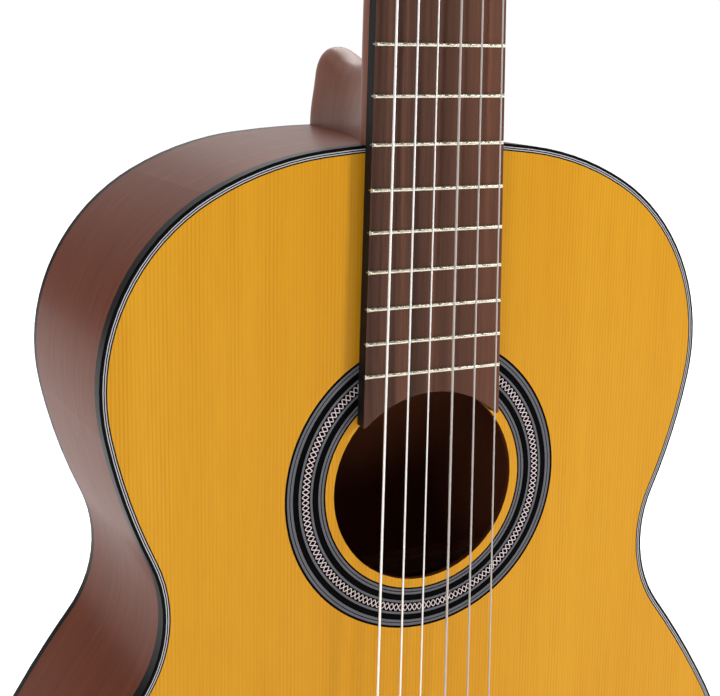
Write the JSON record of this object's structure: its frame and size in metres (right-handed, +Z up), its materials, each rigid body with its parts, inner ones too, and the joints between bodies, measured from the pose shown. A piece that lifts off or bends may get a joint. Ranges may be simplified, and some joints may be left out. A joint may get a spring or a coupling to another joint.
{
  "type": "classical guitar",
  "caption": "Classical guitar with a hollow wooden body, round soundhole with an inlaid rosette, fretted neck, slotted head, nylon strings and geared tuners whose knobs turn the string rollers.",
  "frame": {"origin": "lowest point of the tail, halfway through the body depth there, where a stand or cradle carries it", "axes": "+Z up the neck from the tail to the head, soundboard facing -Y, +X to the treble side"},
  "size_m": [0.359, 0.1239, 1.0031],
  "materials": {
    "spruce_top": "glossy amber-tinted lacquer over spruce with fine straight grain",
    "rib_wood": "glossy reddish brown lacquer",
    "neck_wood": "satin reddish brown stain",
    "inner_wood": "bare, sanded",
    "rosewood": "oiled, open grained, dark streaks",
    "black_binding": "black, glossy",
    "white_line": "white line under lacquer",
    "rosette_black": "black, under lacquer",
    "rosette_grey": "fine grey and black lines",
    "rosette_mosaic": "pale crosshatched lattice on black",
    "fret_metal": "polished nickel silver",
    "bone": "polished ivory white",
    "wound_string": "silver-plated winding",
    "nylon_string": "clear nylon",
    "tuner_metal": "nickel plated",
    "gear_brass": "brass",
    "button_plastic": "pearly white",
    "roller_plastic": "white"
  },
  "bodies": {
    "guitar": {"soundboard": "spruce_top", "back_plate": "rib_wood", "side_bass": "rib_wood", "side_treble": "rib_wood", "top_binding": "black_binding", "top_purfling": "white_line", "back_binding": "black_binding", "end_graft": "black_binding", "rosette_dark": "rosette_black", "rosette_light": "rosette_grey", "rosette_mosaic": "rosette_mosaic", "linings": "inner_wood", "neck": "neck_wood", "headstock": "neck_wood", "head_veneer": "rosewood", "fingerboard": "rosewood", "frets": "fret_metal", "nut": "bone", "tail_block": "inner_wood", "heel_block": "inner_wood", "top_braces": "inner_wood", "soundhole_patch": "inner_wood", "back_braces": "inner_wood", "bridge": "rosewood", "saddle": "bone", "string_low_e": "wound_string", "string_a": "wound_string", "string_d": "wound_string", "string_g": "nylon_string", "string_b": "nylon_string", "string_high_e": "nylon_string", "tuner_plate_bass": "tuner_metal", "tuner_plate_treble": "tuner_metal", "plate_screws": "tuner_metal"},
    "knob_bass_1": {"worm_shaft_bass_1": "tuner_metal", "tuner_button_bass_1": "button_plastic"},
    "roller_bass_1": {"string_roller_bass_1": "roller_plastic", "roller_gear_bass_1": "gear_brass"},
    "knob_bass_2": {"worm_shaft_bass_2": "tuner_metal", "tuner_button_bass_2": "button_plastic"},
    "roller_bass_2": {"string_roller_bass_2": "roller_plastic", "roller_gear_bass_2": "gear_brass"},
    "knob_bass_3": {"worm_shaft_bass_3": "tuner_metal", "tuner_button_bass_3": "button_plastic"},
    "roller_bass_3": {"string_roller_bass_3": "roller_plastic", "roller_gear_bass_3": "gear_brass"},
    "knob_treble_1": {"worm_shaft_treble_1": "tuner_metal", "tuner_button_treble_1": "button_plastic"},
    "roller_treble_1": {"string_roller_treble_1": "roller_plastic", "roller_gear_treble_1": "gear_brass"},
    "knob_treble_2": {"worm_shaft_treble_2": "tuner_metal", "tuner_button_treble_2": "button_plastic"},
    "roller_treble_2": {"string_roller_treble_2": "roller_plastic", "roller_gear_treble_2": "gear_brass"},
    "knob_treble_3": {"worm_shaft_treble_3": "tuner_metal", "tuner_button_treble_3": "button_plastic"},
    "roller_treble_3": {"string_roller_treble_3": "roller_plastic", "roller_gear_treble_3": "gear_brass"}
  },
  "joints": [
    {"name": "knob_spin_bass_1", "type": "hinge", "parent": "guitar", "child": "knob_bass_1", "pos_m": [-0.0402, -0.03559, 0.85867], "axis": [0, -0.9659, 0.2588], "continuous": true},
    {"name": "roller_spin_bass_1", "type": "hinge", "parent": "guitar", "child": "roller_bass_1", "pos_m": [-0.0402, -0.03337, 0.86697], "axis": [1, 0, 0], "continuous": true},
    {"name": "knob_spin_bass_2", "type": "hinge", "parent": "guitar", "child": "knob_bass_2", "pos_m": [-0.0402, -0.02653, 0.89247], "axis": [0, -0.9659, 0.2588], "continuous": true},
    {"name": "roller_spin_bass_2", "type": "hinge", "parent": "guitar", "child": "roller_bass_2", "pos_m": [-0.0402, -0.02431, 0.90077], "axis": [1, 0, 0], "continuous": true},
    {"name": "knob_spin_bass_3", "type": "hinge", "parent": "guitar", "child": "knob_bass_3", "pos_m": [-0.0402, -0.01747, 0.92628], "axis": [0, -0.9659, 0.2588], "continuous": true},
    {"name": "roller_spin_bass_3", "type": "hinge", "parent": "guitar", "child": "roller_bass_3", "pos_m": [-0.0402, -0.01525, 0.93458], "axis": [1, 0, 0], "continuous": true},
    {"name": "knob_spin_treble_1", "type": "hinge", "parent": "guitar", "child": "knob_treble_1", "pos_m": [0.0402, -0.03559, 0.85867], "axis": [0, -0.9659, 0.2588], "continuous": true},
    {"name": "roller_spin_treble_1", "type": "hinge", "parent": "guitar", "child": "roller_treble_1", "pos_m": [0.0402, -0.03337, 0.86697], "axis": [1, 0, 0], "continuous": true},
    {"name": "knob_spin_treble_2", "type": "hinge", "parent": "guitar", "child": "knob_treble_2", "pos_m": [0.0402, -0.02653, 0.89247], "axis": [0, -0.9659, 0.2588], "continuous": true},
    {"name": "roller_spin_treble_2", "type": "hinge", "parent": "guitar", "child": "roller_treble_2", "pos_m": [0.0402, -0.02431, 0.90077], "axis": [1, 0, 0], "continuous": true},
    {"name": "knob_spin_treble_3", "type": "hinge", "parent": "guitar", "child": "knob_treble_3", "pos_m": [0.0402, -0.01747, 0.92628], "axis": [0, -0.9659, 0.2588], "continuous": true},
    {"name": "roller_spin_treble_3", "type": "hinge", "parent": "guitar", "child": "roller_treble_3", "pos_m": [0.0402, -0.01525, 0.93458], "axis": [1, 0, 0], "continuous": true}
  ],
  "couplings": [
    {"joint": "roller_spin_bass_1", "follows": "knob_spin_bass_1", "ratio": 0.071429},
    {"joint": "roller_spin_bass_2", "follows": "knob_spin_bass_2", "ratio": 0.071429},
    {"joint": "roller_spin_bass_3", "follows": "knob_spin_bass_3", "ratio": 0.071429},
    {"joint": "roller_spin_treble_1", "follows": "knob_spin_treble_1", "ratio": 0.071429},
    {"joint": "roller_spin_treble_2", "follows": "knob_spin_treble_2", "ratio": 0.071429},
    {"joint": "roller_spin_treble_3", "follows": "knob_spin_treble_3", "ratio": 0.071429}
  ]
}
